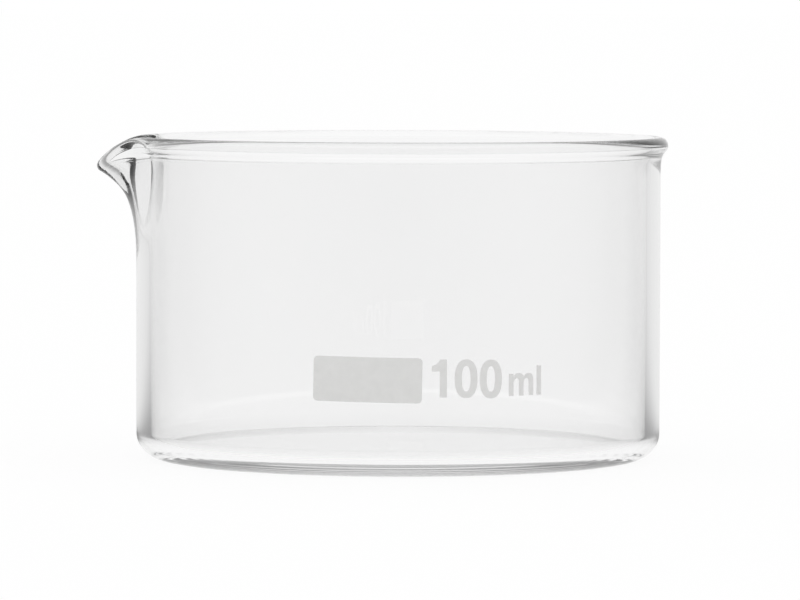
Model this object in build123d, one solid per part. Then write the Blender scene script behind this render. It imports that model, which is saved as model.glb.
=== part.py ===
# Crystallizing dish of borosilicate glass: a low straight-walled dish with a flat floor, a flared
# fire-polished rim and a pulled pouring spout, and an enamel marking field fired on its wall.
# Millimetres, +Z up. The origin is on the dish's axis, at the underside. The spout points to -X.
import os
from math import cos, radians, sin

from build123d import *

# Dish body
OUTER_DIAMETER = 70.0
HEIGHT = 43.0
WALL = 1.9
FLOOR = 2.0
FOOT_RADIUS = 3.5  # rounding under the outer edge of the floor

# Rim: the end of the wall, melted to a round bead and turned outwards a little
RIM_OVERHANG = 1.0  # how far the bead stands out past the wall
RIM_SWELL = 0.2  # how much larger the bead's radius is than half the wall
RIM_LEAN = 83.0  # direction of the glass at the bead, degrees above horizontal
RIM_BULGE_OUT = 40.0  # how far round the bead goes past a half turn, degrees
RIM_BULGE_IN = 6.0
RIM_FLARE = 4.0  # height over which the wall turns outwards, below the bead's centre

# Spout: a stretch of the rim pulled outwards and down, with a smooth channel behind it
SPOUT_REACH = 5.3  # how far the tip stands out past the wall
SPOUT_DROP = 2.85  # how far the tip's bead lies below the rim's bead
SPOUT_HEIGHT = 17.0  # how far down from the top the wall is bent
SPOUT_HALF_ANGLE = 22.0  # half the stretch of rim that the spout takes, degrees round the axis
SPOUT_SHARPNESS = 3.0  # power of the cosine that gives the spout's plan, higher is more pointed
SPOUT_SECTIONS = 23
TIP_BEAD_RADIUS = 0.85
TIP_LEAN = 28.0
TIP_BULGE_OUT = 5.0
TIP_BULGE_IN = 20.0

# Shape of the curves up the wall, as shares of the stretch that each one bends
CURVE_SPLIT = 0.55  # where each face of the wall is split into a lower and an upper curve
FLARE_HANDLE = 0.6
BEAD_HANDLE = 0.42
CHANNEL_EASE_OUT = 0.61
CHANNEL_EASE_IN = 0.77
LIP_HANDLE_OUT = 0.66
LIP_HANDLE_IN = 0.34

JOIN_TOLERANCE = 0.001  # within which the stretches of the dish meet

# Marking field: a thin rounded rectangle of enamel, to write on
MARK_WIDTH = 14.1
MARK_HEIGHT = 5.78
MARK_CORNER = 0.55
MARK_THICKNESS = 0.05
MARK_MIDDLE = 12.7  # height of its centre above the underside
MARK_TURN = -6.45  # its place round the wall, degrees from -Y, towards -X when negative
MARK_TILT = 1.0  # it was fired on slightly askew, degrees

OUTER_RADIUS = OUTER_DIAMETER / 2
INNER_RADIUS = OUTER_RADIUS - WALL
HEEL_RADIUS = FOOT_RADIUS - WALL  # rounding inside, so that the glass keeps its thickness at the corner
RIM_BEAD_RADIUS = WALL / 2 + RIM_SWELL
SPOUT_FOOT = HEIGHT - SPOUT_HEIGHT
RIM_CENTRE = OUTER_RADIUS + RIM_OVERHANG - RIM_BEAD_RADIUS, HEIGHT - RIM_BEAD_RADIUS
TIP_CENTRE = OUTER_RADIUS + SPOUT_REACH - TIP_BEAD_RADIUS, RIM_CENTRE[1] - SPOUT_DROP


def mix(start, end, share):
    return start + (end - start) * share


def pulled(at_rim, at_tip, pull):
    """A (radius, height) point between its places at the rim and at the spout's tip."""
    return mix(at_rim[0], at_tip[0], pull), mix(at_rim[1], at_tip[1], pull**2)


def towards(point, length, angle):
    """The (radius, height) point at a length and direction from another."""
    return point[0] + length * cos(radians(angle)), point[1] + length * sin(radians(angle))


def split_curve(points, share):
    """The control points of one curve, as those of two curves that join smoothly."""
    lower, upper = [points[0]], [points[-1]]
    while len(points) > 1:
        points = [(mix(a[0], b[0], share), mix(a[1], b[1], share)) for a, b in zip(points, points[1:])]
        lower.append(points[0])
        upper.insert(0, points[-1])
    return lower + upper[1:]


def bead(pull):
    """Centre and radius of the bead, and the slope of the glass at its outer and its inner end."""
    centre = pulled(RIM_CENTRE, TIP_CENTRE, pull)
    radius = mix(RIM_BEAD_RADIUS, TIP_BEAD_RADIUS, pull)
    lean = mix(RIM_LEAN, TIP_LEAN, pull)
    slope_out = lean - mix(RIM_BULGE_OUT, TIP_BULGE_OUT, pull)
    slope_in = lean + mix(RIM_BULGE_IN, TIP_BULGE_IN, pull)
    return centre, radius, slope_out, slope_in


def straight_face(radius):
    """Control points up the plain wall, from the spout's foot to inside the flare."""
    turn = RIM_CENTRE[1] - RIM_FLARE
    rise = RIM_FLARE * FLARE_HANDLE
    below = turn - rise * CURVE_SPLIT / (1 - CURVE_SPLIT)
    return [(radius, height) for height in (SPOUT_FOOT, (SPOUT_FOOT + below) / 2, below, turn, turn + rise)]


def channel_face(radius, end, slope, ease, handle):
    """The same control points in the middle of the spout, where the wall bends out to its lip."""
    bend = radius, mix(SPOUT_FOOT, end[1], ease)
    lip = towards(end, -SPOUT_REACH * handle, slope)
    return split_curve([(radius, SPOUT_FOOT), bend, lip, end], CURVE_SPLIT)[:5]


def outer_face(pull):
    """Control points up the outer face of the wall, to the outer end of the bead."""
    tip_centre, tip_radius, tip_slope, _ = bead(1.0)
    tip = towards(tip_centre, tip_radius, tip_slope - 90)
    channel = channel_face(OUTER_RADIUS, tip, tip_slope, CHANNEL_EASE_OUT, LIP_HANDLE_OUT)
    points = [pulled(a, b, pull) for a, b in zip(straight_face(OUTER_RADIUS), channel)]
    centre, radius, slope, _ = bead(pull)
    end = towards(centre, radius, slope - 90)
    return points + [towards(end, -radius * BEAD_HANDLE, slope), end]


def inner_face(pull):
    """Control points up the inner face of the wall, to the inner end of the bead."""
    tip_centre, tip_radius, _, tip_slope = bead(1.0)
    tip = towards(tip_centre, tip_radius, tip_slope + 90)
    channel = channel_face(INNER_RADIUS, tip, tip_slope, CHANNEL_EASE_IN, LIP_HANDLE_IN)
    points = [pulled(a, b, pull) for a, b in zip(straight_face(INNER_RADIUS), channel)]
    centre, radius, _, slope = bead(pull)
    end = towards(centre, radius, slope + 90)
    return points + [towards(end, -radius * BEAD_HANDLE, slope), end]


def edge(points):
    """The curve of some control points, or a line where they lie one above the other."""
    upright = all(point[:2] == points[0][:2] for point in points)
    return Line(points[0], points[-1]) if upright else Bezier(*points)


def wall_section(pull, angle):
    """The upper wall cut by the plane at an angle from the spout's middle."""

    def place(point):
        return -point[0] * cos(radians(angle)), -point[0] * sin(radians(angle)), point[1]

    outer = [place(point) for point in outer_face(pull)]
    inner = [place(point) for point in inner_face(pull)]
    centre, radius, slope_out, slope_in = bead(pull)
    top = place(towards(centre, radius, (slope_out + slope_in) / 2))
    outline = [
        edge(outer[:4]),
        edge(outer[3:]),
        ThreePointArc(outer[-1], top, inner[-1]),
        edge(inner[:2:-1]),
        edge(inner[3::-1]),
        Line(inner[0], outer[0]),
    ]
    return Face(Wire(outline))


def make_base():
    """The floor and the plain lower wall, up to where the spout's channel begins."""
    foot = OUTER_RADIUS - FOOT_RADIUS, FOOT_RADIUS
    heel = INNER_RADIUS - HEEL_RADIUS, FLOOR + HEEL_RADIUS
    foot_curve = [towards(foot, FOOT_RADIUS, angle) for angle in (-90, -45, 0)]
    heel_curve = [towards(heel, HEEL_RADIUS, angle) for angle in (0, -45, -90)]
    with BuildPart() as base:
        with BuildSketch(Plane.XZ):
            with BuildLine():
                Polyline(heel_curve[-1], (0, FLOOR), (0, 0), foot_curve[0])
                ThreePointArc(*foot_curve)
                Polyline(foot_curve[-1], (OUTER_RADIUS, SPOUT_FOOT), (INNER_RADIUS, SPOUT_FOOT), heel_curve[0])
                ThreePointArc(*heel_curve)
            make_face()
        revolve(axis=Axis.Z)
    return base.part


def make_rim():
    """The upper wall with its bead, round all of the dish but the spout."""
    return revolve(wall_section(0.0, SPOUT_HALF_ANGLE), Axis.Z, 360 - 2 * SPOUT_HALF_ANGLE)


def make_spout():
    """The pulled stretch: wall sections that swing out and down, then back."""
    sections = []
    for number in range(SPOUT_SECTIONS):
        share = mix(-1.0, 1.0, number / (SPOUT_SECTIONS - 1))
        pull = max(cos(radians(90 * share)), 0.0) ** SPOUT_SHARPNESS
        sections.append(wall_section(pull, share * SPOUT_HALF_ANGLE))
    return loft(sections)


def make_marking_field():
    """A rounded rectangle cut from a thin sleeve that lies on the dish's wall."""
    turn = radians(MARK_TURN)
    facing = Plane(origin=(0, 0, MARK_MIDDLE), x_dir=(cos(turn), sin(turn), 0), z_dir=(sin(turn), -cos(turn), 0))
    upright = (Align.CENTER, Align.CENTER, Align.MIN)
    with BuildPart() as field:
        Cylinder(OUTER_RADIUS + MARK_THICKNESS, HEIGHT, align=upright)
        Cylinder(OUTER_RADIUS, HEIGHT, align=upright, mode=Mode.SUBTRACT)
        with BuildSketch(facing):
            RectangleRounded(MARK_WIDTH, MARK_HEIGHT, MARK_CORNER, rotation=-MARK_TILT)
        extrude(amount=OUTER_DIAMETER, mode=Mode.INTERSECT)
    return field.part


def make_dish():
    """The three stretches joined as the one piece of glass."""
    return make_base().fuse(make_rim(), make_spout(), tol=JOIN_TOLERANCE).clean()


os.makedirs("parts", exist_ok=True)
export_step(make_dish(), "parts/dish.step")
export_step(make_marking_field(), "parts/marking_field.step")
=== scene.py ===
# A crystallizing dish of clear borosilicate glass with its fired enamel marks, on a white table.
# Metres, +Z up. The origin is on the dish's axis, at the underside. The spout points to -X.
from math import copysign, cos, pi, radians, sin

import bmesh
import bpy
from mathutils import Euler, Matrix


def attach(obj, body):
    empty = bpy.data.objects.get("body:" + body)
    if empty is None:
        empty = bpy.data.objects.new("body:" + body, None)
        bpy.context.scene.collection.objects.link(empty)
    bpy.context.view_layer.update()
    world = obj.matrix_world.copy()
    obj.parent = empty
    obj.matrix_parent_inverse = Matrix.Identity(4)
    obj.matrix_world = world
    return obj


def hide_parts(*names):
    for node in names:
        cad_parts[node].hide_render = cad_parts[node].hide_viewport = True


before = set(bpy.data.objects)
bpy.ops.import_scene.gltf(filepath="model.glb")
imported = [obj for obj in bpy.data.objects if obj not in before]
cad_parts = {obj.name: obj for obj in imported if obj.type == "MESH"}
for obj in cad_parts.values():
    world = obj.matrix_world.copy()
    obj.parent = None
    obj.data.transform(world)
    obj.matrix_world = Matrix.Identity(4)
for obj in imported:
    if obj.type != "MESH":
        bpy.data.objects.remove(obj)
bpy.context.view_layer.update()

# Dish body
OUTER_RADIUS = 0.035
HEIGHT = 0.043
WALL = 0.0019
FLOOR = 0.002
FOOT_RADIUS = 0.0035  # rounding under the outer edge of the floor

# Rim: the end of the wall, melted to a round bead and turned outwards a little
RIM_OVERHANG = 0.001  # how far the bead stands out past the wall
RIM_SWELL = 0.0002  # how much larger the bead's radius is than half the wall
RIM_LEAN = 83.0  # direction of the glass at the bead, degrees above horizontal
RIM_BULGE_OUT = 40.0  # how far round the bead goes past a half turn, degrees
RIM_BULGE_IN = 6.0
RIM_FLARE = 0.004  # height over which the wall turns outwards, below the bead's centre

# Spout: a stretch of the rim pulled outwards and down, with a smooth channel behind it
SPOUT_REACH = 0.0053  # how far the tip stands out past the wall
SPOUT_DROP = 0.00285  # how far the tip's bead lies below the rim's bead
SPOUT_HEIGHT = 0.017  # how far down from the top the wall is bent
SPOUT_HALF_ANGLE = 22.0  # half the stretch of rim that the spout takes, degrees round the axis
SPOUT_SHARPNESS = 3.0  # power of the cosine that gives the spout's plan, higher is more pointed
TIP_BEAD_RADIUS = 0.00085
TIP_LEAN = 28.0
TIP_BULGE_OUT = 5.0
TIP_BULGE_IN = 20.0

# Shape of the curves up the wall, as shares of the stretch that each one bends
CURVE_SPLIT = 0.55  # where each face of the wall is split into a lower and an upper curve
FLARE_HANDLE = 0.6
BEAD_HANDLE = 0.42
CHANNEL_EASE_OUT = 0.61
CHANNEL_EASE_IN = 0.77
LIP_HANDLE_OUT = 0.66
LIP_HANDLE_IN = 0.34

INNER_RADIUS = OUTER_RADIUS - WALL
HEEL_RADIUS = FOOT_RADIUS - WALL  # rounding inside, so that the glass keeps its thickness at the corner
RIM_BEAD_RADIUS = WALL / 2 + RIM_SWELL
SPOUT_FOOT = HEIGHT - SPOUT_HEIGHT
RIM_CENTRE = OUTER_RADIUS + RIM_OVERHANG - RIM_BEAD_RADIUS, HEIGHT - RIM_BEAD_RADIUS
TIP_CENTRE = OUTER_RADIUS + SPOUT_REACH - TIP_BEAD_RADIUS, RIM_CENTRE[1] - SPOUT_DROP

# Marking field and volume mark: enamel fired on the wall. Places on the wall are given as
# millimetres round it from -Y towards +X, and millimetres up from the underside.
MM = 0.001
MARK_WIDTH = 14.1
MARK_HEIGHT = 5.78
MARK_CORNER = 0.55
MARK_MIDDLE = 12.7  # height of its centre above the underside
MARK_TURN = -6.45  # its place round the wall, degrees from -Y, towards -X when negative
MARK_TILT = 1.0  # it was fired on slightly askew, degrees
MARK_COLUMNS = 56
MARK_ROWS = 8
CORNER_COLUMNS = 8
MARK_THICKNESS = 0.05
PRINT_THICKNESS = 0.03  # of the figures and letters
PRINT_SUNK = 0.01  # how far the enamel reaches into the glass
PRINT_EDGE = 0.012  # rounding of the upper edges
PRINT_EDGE_STEPS = 2
SAME_POINT_DIGITS = 4  # decimals to which points that strips share agree

# Figure zero: a squarish oval with a narrower one cut out of it
ZERO_STEPS = 48
ZERO_POWER = 2.35  # 2 is an ellipse, higher is squarer
ZERO_HALF_WIDTH = 1.51
ZERO_HALF_HEIGHT = 2.48
ZERO_HOLE_WIDTH = 0.57
ZERO_HOLE_HEIGHT = 1.64
ZERO_CENTRES = (8.83, 12.81), (12.16, 12.72)

# The other figures and letters: strips of enamel between two lines of matching points
ONE_LINES = (
    ((4.35, 14.47), (4.78, 14.62), (5.16, 14.9), (5.4, 15.31), (6.3, 15.31), (6.3, 13.7), (6.3, 10.44)),
    ((4.35, 13.78), (4.78, 13.78), (5.1, 13.79), (5.3, 13.79), (5.37, 13.75), (5.37, 13.5), (5.37, 10.44)),
)
M_LINES = (
    ((14.66, 13.33), (14.66, 12.95), (14.66, 12.2), (14.66, 10.47)),
    ((15.3, 13.33), (15.33, 12.98), (15.33, 12.2), (15.33, 10.47)),
)
M_ARCHES = (
    (
        (
            (15.33, 12.98), (15.55, 13.24), (15.84, 13.37), (16.2, 13.38),
            (16.5, 13.29), (16.72, 13.1), (16.77, 12.9),
        ),
        (
            (15.33, 12.2), (15.45, 12.53), (15.64, 12.7), (15.84, 12.72),
            (16.0, 12.64), (16.09, 12.45), (16.11, 12.2),
        ),
    ),
    (
        (
            (16.77, 12.9), (16.98, 13.2), (17.27, 13.36), (17.63, 13.38),
            (17.95, 13.25), (18.14, 12.98), (18.2, 12.6),
        ),
        (
            (16.77, 12.2), (16.9, 12.54), (17.08, 12.7), (17.28, 12.72),
            (17.42, 12.64), (17.5, 12.45), (17.52, 12.2),
        ),
    ),
)
M_STEMS = (
    (((16.77, 12.9), (16.77, 12.2), (16.77, 10.49)), ((16.11, 12.2), (16.11, 11.9), (16.11, 10.49))),
    (((18.2, 12.6), (18.2, 12.1), (18.2, 10.5)), ((17.52, 12.2), (17.52, 11.8), (17.52, 10.5))),
)
L_LINES = ((18.72, 14.3), (18.72, 10.53)), ((19.38, 14.3), (19.38, 10.53))

# Fineness of the glass mesh
PLAIN_COLUMNS = 300
SPOUT_COLUMNS = 120
FLOOR_RINGS = 8
CORNER_STEPS = 14
WALL_STEPS = 10
CURVE_STEPS = 20
BEAD_STEPS = 28
SUPPORT = 0.0001  # distance of the extra ring beside a corner, which keeps the flat next to it flat

# Camera, from the photograph's side and a little above the rim
IMAGE_WIDTH = 800
FOCAL_PIXELS = 5697.0  # focal length, in pixels of the image
SENSOR_WIDTH = 36.0  # millimetres
CAMERA_NEAR = 0.01
CAMERA_FAR = 100.0
CAMERA_DISTANCE = 0.7612
CAMERA_HEIGHT = 0.06163
CAMERA_ASIDE = 0.00024
CAMERA_PITCH = 3.05  # looking down, degrees
CAMERA_ROLL = 0.15

# Glass
GLASS_IOR = 1.47
GLASS_DENSITY = 1.0  # absorption, per metre

# Enamel
# Painted shade: the enamel is white, and both tones darken it to pale grey as it is seen lit from behind;
# between them it is mottled at random
ENAMEL_SHADED_DARK = 0.7, 0.7, 0.69
ENAMEL_SHADED_LIGHT = 0.78, 0.78, 0.77
ENAMEL_SMOOTH = 0.42  # roughness
ENAMEL_ROUGH = 0.55
CLOUD_SCALE = 900.0
GRAIN_SCALE = 9000.0
GRAIN_LOW = 0.3  # stretch of the grain over which the roughness changes
GRAIN_HIGH = 0.7
GRAIN_DEPTH = 0.00001
GRAIN_STRENGTH = 0.35
NOISE_DETAIL = 4.0

# Studio
LIGHT_BOUNCES = 48  # the floor's two faces mirror light many times before it leaves at the foot
TABLE_WIDTH = 20.0
TABLE_FRONT = -0.3
TABLE_GAP = 0.00005  # air under the dish
TABLE_WHITENESS = 0.95
TABLE_GLOW = 0.93  # share of plain white in what is seen of it, the rest shows shadow
TABLE_NEAR = 0.036  # from the axis, where its mirrored brightness starts to follow the studio's
TABLE_FAR = 0.045

# Brightness of what the glass mirrors, by the direction's angle from straight behind the dish, degrees
STUDIO_LIGHT = (0, 1.0), (12, 0.9), (35, 0.82), (55, 0.4), (90, 0.2), (180, 0.0)


def mix(start, end, share):
    return start + (end - start) * share


def pulled(at_rim, at_tip, pull):
    """A (radius, height) point between its places at the rim and at the spout's tip."""
    return mix(at_rim[0], at_tip[0], pull), mix(at_rim[1], at_tip[1], pull**2)


def towards(point, length, angle):
    """The (radius, height) point at a length and direction from another."""
    return point[0] + length * cos(radians(angle)), point[1] + length * sin(radians(angle))


def split_curve(points, share):
    """The control points of one curve, as those of two curves that join smoothly."""
    lower, upper = [points[0]], [points[-1]]
    while len(points) > 1:
        points = [(mix(a[0], b[0], share), mix(a[1], b[1], share)) for a, b in zip(points, points[1:])]
        lower.append(points[0])
        upper.insert(0, points[-1])
    return lower + upper[1:]


def curve_points(controls, steps):
    """Points along a curve, from its start to just before its end."""
    result = []
    for step in range(steps):
        points, share = controls, step / steps
        while len(points) > 1:
            points = [(mix(a[0], b[0], share), mix(a[1], b[1], share)) for a, b in zip(points, points[1:])]
        result.append(points[0])
    return result


def arc_points(centre, radius, start, end, steps):
    """Points round an arc, from its start to just before its end."""
    return [towards(centre, radius, mix(start, end, step / steps)) for step in range(steps)]


def bead(pull):
    """Centre and radius of the bead, and the slope of the glass at its outer and its inner end."""
    centre = pulled(RIM_CENTRE, TIP_CENTRE, pull)
    radius = mix(RIM_BEAD_RADIUS, TIP_BEAD_RADIUS, pull)
    lean = mix(RIM_LEAN, TIP_LEAN, pull)
    slope_out = lean - mix(RIM_BULGE_OUT, TIP_BULGE_OUT, pull)
    slope_in = lean + mix(RIM_BULGE_IN, TIP_BULGE_IN, pull)
    return centre, radius, slope_out, slope_in


def straight_face(radius):
    """Control points up the plain wall, from the spout's foot to inside the flare."""
    turn = RIM_CENTRE[1] - RIM_FLARE
    rise = RIM_FLARE * FLARE_HANDLE
    below = turn - rise * CURVE_SPLIT / (1 - CURVE_SPLIT)
    return [(radius, height) for height in (SPOUT_FOOT, (SPOUT_FOOT + below) / 2, below, turn, turn + rise)]


def channel_face(radius, end, slope, ease, handle):
    """The same control points in the middle of the spout, where the wall bends out to its lip."""
    bend = radius, mix(SPOUT_FOOT, end[1], ease)
    lip = towards(end, -SPOUT_REACH * handle, slope)
    return split_curve([(radius, SPOUT_FOOT), bend, lip, end], CURVE_SPLIT)[:5]


def outer_face(pull):
    """Control points up the outer face of the wall, to the outer end of the bead."""
    tip_centre, tip_radius, tip_slope, _ = bead(1.0)
    tip = towards(tip_centre, tip_radius, tip_slope - 90)
    channel = channel_face(OUTER_RADIUS, tip, tip_slope, CHANNEL_EASE_OUT, LIP_HANDLE_OUT)
    points = [pulled(a, b, pull) for a, b in zip(straight_face(OUTER_RADIUS), channel)]
    centre, radius, slope, _ = bead(pull)
    end = towards(centre, radius, slope - 90)
    return points + [towards(end, -radius * BEAD_HANDLE, slope), end]


def inner_face(pull):
    """Control points up the inner face of the wall, to the inner end of the bead."""
    tip_centre, tip_radius, _, tip_slope = bead(1.0)
    tip = towards(tip_centre, tip_radius, tip_slope + 90)
    channel = channel_face(INNER_RADIUS, tip, tip_slope, CHANNEL_EASE_IN, LIP_HANDLE_IN)
    points = [pulled(a, b, pull) for a, b in zip(straight_face(INNER_RADIUS), channel)]
    centre, radius, _, slope = bead(pull)
    end = towards(centre, radius, slope + 90)
    return points + [towards(end, -radius * BEAD_HANDLE, slope), end]


def glass_profile(pull):
    """The whole wall's outline, from beside the axis under the floor to beside it on top."""
    outer, inner = outer_face(pull), inner_face(pull)[::-1]
    centre, radius, slope_out, slope_in = bead(pull)
    foot = OUTER_RADIUS - FOOT_RADIUS, FOOT_RADIUS
    heel = INNER_RADIUS - HEEL_RADIUS, FLOOR + HEEL_RADIUS
    rings = [(foot[0] * (ring + 1) / FLOOR_RINGS, 0.0) for ring in range(FLOOR_RINGS - 1)]
    floor = [(heel[0] * ring / FLOOR_RINGS, FLOOR) for ring in range(FLOOR_RINGS - 1, 0, -1)]
    return [
        *rings,
        (foot[0] - SUPPORT, 0.0),
        *arc_points(foot, FOOT_RADIUS, -90, 0, CORNER_STEPS),
        (OUTER_RADIUS, FOOT_RADIUS),
        *curve_points([(OUTER_RADIUS, FOOT_RADIUS + SUPPORT), (OUTER_RADIUS, SPOUT_FOOT)], WALL_STEPS),
        *curve_points(outer[:4], CURVE_STEPS),
        *curve_points(outer[3:], CURVE_STEPS),
        *arc_points(centre, radius, slope_out - 90, slope_in + 90, BEAD_STEPS),
        *curve_points(inner[:4], CURVE_STEPS),
        *curve_points(inner[3:], CURVE_STEPS),
        *curve_points([(INNER_RADIUS, SPOUT_FOOT), (INNER_RADIUS, heel[1] + SUPPORT)], WALL_STEPS),
        (INNER_RADIUS, heel[1] + SUPPORT),
        *arc_points(heel, HEEL_RADIUS, 0, -90, CORNER_STEPS),
        (heel[0], FLOOR),
        (heel[0] - SUPPORT, FLOOR),
        *floor,
    ]


def column_angles():
    """Angles round the axis from the spout's middle, closer together in the spout."""
    spout = [mix(-SPOUT_HALF_ANGLE, SPOUT_HALF_ANGLE, n / SPOUT_COLUMNS) for n in range(SPOUT_COLUMNS)]
    plain = [mix(SPOUT_HALF_ANGLE, 360 - SPOUT_HALF_ANGLE, n / PLAIN_COLUMNS) for n in range(PLAIN_COLUMNS)]
    return spout + plain


def pull_at(angle):
    """How far the wall is pulled out at an angle from the spout's middle, from 0 to 1."""
    share = min(abs(angle) / SPOUT_HALF_ANGLE, 1.0)
    return cos(radians(90 * share)) ** SPOUT_SHARPNESS if share < 1 else 0.0


def new_object(name, mesh):
    """An object of a mesh in the scene, riding on the one body."""
    made = bpy.data.objects.new(name, mesh)
    bpy.context.scene.collection.objects.link(made)
    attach(made, "root")
    return made


def make_glass():
    """The glass as one closed mesh: columns of the wall's outline round the axis."""
    shape = bmesh.new()
    columns = []
    for angle in column_angles():
        across = -cos(radians(angle)), -sin(radians(angle))
        outline = glass_profile(pull_at(angle))
        columns.append([shape.verts.new((r * across[0], r * across[1], z)) for r, z in outline])
    under = shape.verts.new((0, 0, 0))
    top = shape.verts.new((0, 0, FLOOR))
    for left, right in zip(columns, columns[1:] + columns[:1]):
        for row in range(len(left) - 1):
            shape.faces.new((left[row], right[row], right[row + 1], left[row + 1]))
        shape.faces.new((under, right[0], left[0]))
        shape.faces.new((top, left[-1], right[-1]))
    for face in shape.faces:
        face.smooth = True
    bmesh.ops.recalc_face_normals(shape, faces=shape.faces)
    mesh = bpy.data.meshes.new("dish_glass")
    shape.to_mesh(mesh)
    shape.free()
    return new_object("dish_glass", mesh)


def round_field():
    """The marking field's upper and lower edge, as lines of matching points."""
    flat = MARK_WIDTH / 2 - MARK_CORNER
    turns = [90 * step / CORNER_COLUMNS for step in range(CORNER_COLUMNS)]
    corner = [(flat + MARK_CORNER * cos(radians(turn)), MARK_CORNER * sin(radians(turn))) for turn in turns]
    right = [(x, MARK_HEIGHT / 2 - MARK_CORNER + rise) for x, rise in corner]
    middle = [(mix(flat, -flat, n / MARK_COLUMNS), MARK_HEIGHT / 2) for n in range(MARK_COLUMNS + 1)]
    upper = right + middle + [(-x, y) for x, y in right[::-1]]
    lower = [(x, -y) for x, y in upper]
    start = radians(MARK_TURN) * OUTER_RADIUS / MM
    tilt = radians(-MARK_TILT)

    def place(point):
        x, y = point
        return start + x * cos(tilt) - y * sin(tilt), MARK_MIDDLE + x * sin(tilt) + y * cos(tilt)

    return [place(point) for point in upper], [place(point) for point in lower]


def rows_between(first, second, rows):
    """Strips side by side that fill the stretch between two lines."""
    lines = []
    for row in range(rows + 1):
        share = row / rows
        lines.append([(mix(a[0], b[0], share), mix(a[1], b[1], share)) for a, b in zip(first, second)])
    return list(zip(lines, lines[1:]))


def zero_lines(centre):
    """The outer and inner edge of a figure zero, each closed."""
    edges = []
    for width, height in ((ZERO_HALF_WIDTH, ZERO_HALF_HEIGHT), (ZERO_HOLE_WIDTH, ZERO_HOLE_HEIGHT)):
        edge = []
        for step in range(ZERO_STEPS + 1):
            turn = 2 * pi * (step % ZERO_STEPS) / ZERO_STEPS
            x = copysign(abs(cos(turn)) ** (2 / ZERO_POWER), cos(turn))
            y = copysign(abs(sin(turn)) ** (2 / ZERO_POWER), sin(turn))
            edge.append((centre[0] + width * x, centre[1] + height * y))
        edges.append(edge)
    return tuple(edges)


def make_print(name, strips, thickness):
    """Enamel on the wall: strips of quads between lines of matching points, given a thickness."""
    corners, faces, uses = {}, [], {}
    for first, second in strips:
        for quad in zip(first, first[1:], second[1:], second):
            points = [(round(x, SAME_POINT_DIGITS), round(y, SAME_POINT_DIGITS)) for x, y in quad]
            face = [corners.setdefault(point, len(corners)) for point in points]
            faces.append(face)
            for edge in zip(face, face[1:] + face[:1]):
                uses[frozenset(edge)] = None if frozenset(edge) in uses else edge
    shape = bmesh.new()
    low = [shape.verts.new((x, y, -PRINT_SUNK)) for x, y in corners]
    high = [shape.verts.new((x, y, thickness)) for x, y in corners]
    for face in faces:
        shape.faces.new([high[corner] for corner in face])
        shape.faces.new([low[corner] for corner in reversed(face)])
    for edge in filter(None, uses.values()):
        shape.faces.new((high[edge[0]], high[edge[1]], low[edge[1]], low[edge[0]]))
    bmesh.ops.recalc_face_normals(shape, faces=shape.faces)
    rims = [edge for edge in shape.edges if is_upper_rim(edge)]
    bmesh.ops.bevel(
        shape, geom=rims, offset=PRINT_EDGE, segments=PRINT_EDGE_STEPS, profile=0.5, affect="EDGES"
    )
    for vert in shape.verts:
        turn = vert.co.x * MM / OUTER_RADIUS
        radius = OUTER_RADIUS + vert.co.z * MM
        vert.co = radius * sin(turn), -radius * cos(turn), vert.co.y * MM
    mesh = bpy.data.meshes.new(name)
    shape.to_mesh(mesh)
    shape.free()
    return new_object(name, mesh)


def is_upper_rim(edge):
    """Whether an edge of a flat print lies between its upper face and a side."""
    tops = [abs(face.normal.z) > 0.5 for face in edge.link_faces]
    return min(vert.co.z for vert in edge.verts) > 0 and any(tops) and not all(tops)


def make_marking_field():
    """The field to write on."""
    upper, lower = round_field()
    return make_print("marking_field_enamel", rows_between(upper, lower, MARK_ROWS), MARK_THICKNESS)


def make_volume_mark():
    """The figures and letters beside the field, 100 ml."""
    strips = [ONE_LINES, *map(zero_lines, ZERO_CENTRES), M_LINES, *M_ARCHES, *M_STEMS, L_LINES]
    return make_print("volume_mark", strips, PRINT_THICKNESS)


def make_floor():
    """A wide white table, far larger than the view."""
    shape = bmesh.new()
    side, front, back = TABLE_WIDTH / 2, TABLE_FRONT, TABLE_FRONT + TABLE_WIDTH
    corners = [(-side, front), (side, front), (side, back), (-side, back)]
    shape.faces.new([shape.verts.new((x, y, -TABLE_GAP)) for x, y in corners])
    mesh = bpy.data.meshes.new("table")
    shape.to_mesh(mesh)
    shape.free()
    table = bpy.data.objects.new("table", mesh)
    bpy.context.scene.collection.objects.link(table)
    return table


def new_material(name):
    """A material with an empty node tree, and its maker of nodes."""
    material = bpy.data.materials.new(name)
    material.use_nodes = True
    material.node_tree.nodes.clear()
    return material, material.node_tree.nodes, material.node_tree.links


def glass_material():
    """Clear glass with a faint grey of its own in thick places."""
    material, nodes, links = new_material("clear_glass")
    output = nodes.new("ShaderNodeOutputMaterial")
    glass = nodes.new("ShaderNodeBsdfPrincipled")
    glass.inputs["Base Color"].default_value = (1.0, 1.0, 1.0, 1.0)
    glass.inputs["Transmission Weight"].default_value = 1.0
    glass.inputs["Roughness"].default_value = 0.0
    glass.inputs["IOR"].default_value = GLASS_IOR
    absorption = nodes.new("ShaderNodeVolumeAbsorption")
    absorption.inputs["Color"].default_value = (0.0, 0.0, 0.0, 1.0)
    absorption.inputs["Density"].default_value = GLASS_DENSITY
    links.new(glass.outputs["BSDF"], output.inputs["Surface"])
    links.new(absorption.outputs["Volume"], output.inputs["Volume"])
    return material


def new_noise(nodes, links, place, scale):
    """A noise over the object, from 0 to 1."""
    noise = nodes.new("ShaderNodeTexNoise")
    noise.inputs["Scale"].default_value = scale
    noise.inputs["Detail"].default_value = NOISE_DETAIL
    links.new(place.outputs["Object"], noise.inputs["Vector"])
    return noise.outputs["Fac"]


def node_maths(nodes, links, operation, first, second):
    """A node that works out one sum, of sockets or plain numbers."""
    node = nodes.new("ShaderNodeMath")
    node.operation = operation
    for socket, value in zip(node.inputs, (first, second)):
        if isinstance(value, (int, float)):
            socket.default_value = value
        else:
            links.new(value, socket)
    return node.outputs[0]


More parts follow.
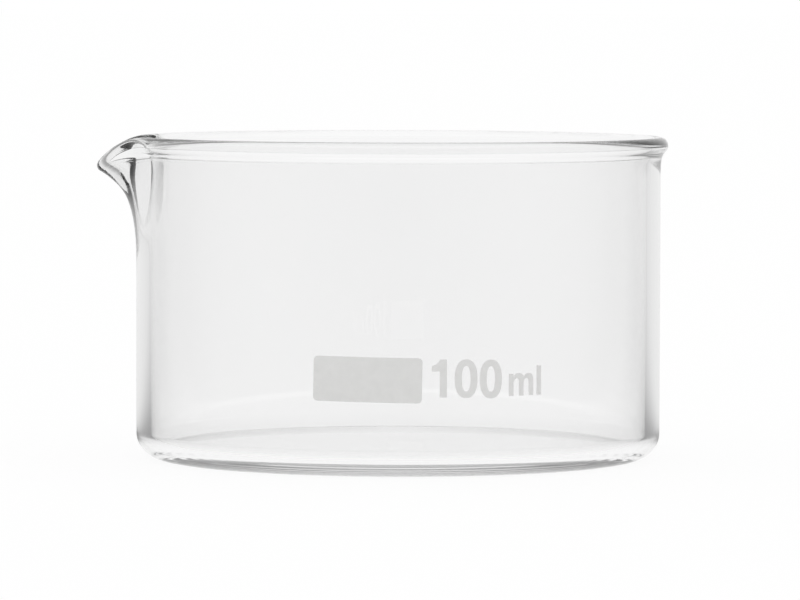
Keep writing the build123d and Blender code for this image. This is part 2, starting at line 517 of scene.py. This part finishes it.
def node_ramp(nodes, links, value, start, end, low, high):
    """A node that goes smoothly from one value to another over a stretch of its input."""
    node = nodes.new("ShaderNodeMapRange")
    node.interpolation_type = "SMOOTHSTEP"
    for name, number in (("From Min", start), ("From Max", end), ("To Min", low), ("To Max", high)):
        node.inputs[name].default_value = number
    links.new(value, node.inputs["Value"])
    return node.outputs["Result"]


def studio_light(nodes, links, y):
    """How bright the studio is in a direction, by the direction's Y: white behind, dark in front."""
    angle = node_maths(nodes, links, "ARCCOSINE", y, 0.0)
    ramp = nodes.new("ShaderNodeValToRGB")
    links.new(node_maths(nodes, links, "DIVIDE", angle, pi), ramp.inputs["Fac"])
    stops = ramp.color_ramp.elements
    while len(stops) < len(STUDIO_LIGHT):
        stops.new(0.5)
    for stop, (turn, light) in zip(stops, STUDIO_LIGHT):
        stop.position = turn / 180
        stop.color = light, light, light, 1.0
    return ramp.outputs["Color"]


def mirrored_ray(nodes, links, path):
    """1 for a ray that a glass surface has mirrored on its way, 0 for one that went straight through."""
    return node_maths(nodes, links, "GREATER_THAN", path.outputs["Glossy Depth"], 0.5)


def enamel_material():
    """White fired enamel darkened to pale grey by painted shade, a little mottled, with a matt fine-grained
    face.
    """
    material, nodes, links = new_material("enamel")
    output = nodes.new("ShaderNodeOutputMaterial")
    enamel = nodes.new("ShaderNodeBsdfPrincipled")
    place = nodes.new("ShaderNodeTexCoord")
    clouds = new_noise(nodes, links, place, CLOUD_SCALE)
    grain = new_noise(nodes, links, place, GRAIN_SCALE)
    # Painted shade: this mottled base colour holds the shade of the white enamel lit from behind
    colour = nodes.new("ShaderNodeMix")
    colour.data_type = "RGBA"
    colour.inputs["A"].default_value = (*ENAMEL_SHADED_DARK, 1.0)
    colour.inputs["B"].default_value = (*ENAMEL_SHADED_LIGHT, 1.0)
    links.new(clouds, colour.inputs["Factor"])
    links.new(colour.outputs["Result"], enamel.inputs["Base Color"])
    roughness = node_ramp(nodes, links, grain, GRAIN_LOW, GRAIN_HIGH, ENAMEL_SMOOTH, ENAMEL_ROUGH)
    links.new(roughness, enamel.inputs["Roughness"])
    bump = nodes.new("ShaderNodeBump")
    bump.inputs["Strength"].default_value = GRAIN_STRENGTH
    bump.inputs["Distance"].default_value = GRAIN_DEPTH
    links.new(grain, bump.inputs["Height"])
    links.new(bump.outputs["Normal"], enamel.inputs["Normal"])
    links.new(enamel.outputs["BSDF"], output.inputs["Surface"])
    return material


def floor_material():
    """White as seen straight; as glass mirrors it, white near by and as bright as the studio far off."""
    material, nodes, links = new_material("white_table")
    output = nodes.new("ShaderNodeOutputMaterial")
    path = nodes.new("ShaderNodeLightPath")
    place = nodes.new("ShaderNodeTexCoord")
    distance = nodes.new("ShaderNodeVectorMath")
    distance.operation = "LENGTH"
    links.new(place.outputs["Object"], distance.inputs[0])
    parts = nodes.new("ShaderNodeSeparateXYZ")
    links.new(place.outputs["Object"], parts.inputs[0])
    across = node_maths(nodes, links, "DIVIDE", parts.outputs["Y"], distance.outputs["Value"])
    far_off = node_ramp(nodes, links, distance.outputs["Value"], TABLE_NEAR, TABLE_FAR, 0.0, 1.0)
    in_glass = nodes.new("ShaderNodeMix")
    in_glass.data_type = "FLOAT"
    in_glass.inputs["A"].default_value = 1.0
    mirrored = mirrored_ray(nodes, links, path)
    links.new(node_maths(nodes, links, "MULTIPLY", far_off, mirrored), in_glass.inputs["Factor"])
    links.new(studio_light(nodes, links, across), in_glass.inputs["B"])
    diffuse = nodes.new("ShaderNodeBsdfDiffuse")
    diffuse.inputs["Color"].default_value = (TABLE_WHITENESS, TABLE_WHITENESS, TABLE_WHITENESS, 1.0)
    glow = nodes.new("ShaderNodeEmission")
    links.new(in_glass.outputs["Result"], glow.inputs["Strength"])
    seen = path.outputs["Is Camera Ray"]
    for ray in ("Is Glossy Ray", "Is Transmission Ray"):
        seen = node_maths(nodes, links, "MAXIMUM", seen, path.outputs[ray])
    both = nodes.new("ShaderNodeMixShader")
    links.new(node_maths(nodes, links, "MULTIPLY", seen, TABLE_GLOW), both.inputs[0])
    links.new(diffuse.outputs[0], both.inputs[1])
    links.new(glow.outputs[0], both.inputs[2])
    links.new(both.outputs[0], output.inputs["Surface"])
    return material


def make_world():
    """White as seen straight; as glass mirrors it, white behind the dish and darker to the front."""
    world = bpy.data.worlds.new("studio")
    bpy.context.scene.world = world
    world.use_nodes = True
    nodes, links = world.node_tree.nodes, world.node_tree.links
    nodes.clear()
    output = nodes.new("ShaderNodeOutputWorld")
    light = nodes.new("ShaderNodeBackground")
    light.inputs["Color"].default_value = (1.0, 1.0, 1.0, 1.0)
    place = nodes.new("ShaderNodeTexCoord")
    parts = nodes.new("ShaderNodeSeparateXYZ")
    links.new(place.outputs["Generated"], parts.inputs[0])
    path = nodes.new("ShaderNodeLightPath")
    strength = nodes.new("ShaderNodeMix")
    strength.data_type = "FLOAT"
    strength.inputs["A"].default_value = 1.0
    links.new(mirrored_ray(nodes, links, path), strength.inputs["Factor"])
    links.new(studio_light(nodes, links, parts.outputs["Y"]), strength.inputs["B"])
    links.new(strength.outputs["Result"], light.inputs["Strength"])
    links.new(light.outputs[0], output.inputs["Surface"])


def make_camera():
    """The camera at the photograph's viewing angle."""
    data = bpy.data.cameras.new("camera")
    data.sensor_width = SENSOR_WIDTH
    data.lens = FOCAL_PIXELS * SENSOR_WIDTH / IMAGE_WIDTH
    data.clip_start = CAMERA_NEAR
    data.clip_end = CAMERA_FAR
    camera = bpy.data.objects.new("camera", data)
    camera.location = CAMERA_ASIDE, -CAMERA_DISTANCE, CAMERA_HEIGHT
    look = Euler((radians(90 - CAMERA_PITCH), 0, 0)).to_matrix()
    roll = Euler((0, 0, radians(CAMERA_ROLL))).to_matrix()
    camera.rotation_euler = (look @ roll).to_euler()
    bpy.context.scene.collection.objects.link(camera)
    bpy.context.scene.camera = camera


glass = make_glass()
glass.data.materials.append(glass_material())
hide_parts("dish")
enamel = enamel_material()
field, volume = make_marking_field(), make_volume_mark()
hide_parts("marking_field")
for piece in (field, volume):
    piece.data.materials.append(enamel)
make_floor().data.materials.append(floor_material())
make_world()
make_camera()
bpy.context.scene.view_settings.view_transform = "Standard"
bpy.context.scene.cycles.max_bounces = LIGHT_BOUNCES
bpy.context.scene.cycles.glossy_bounces = LIGHT_BOUNCES
bpy.context.scene.cycles.transmission_bounces = LIGHT_BOUNCES
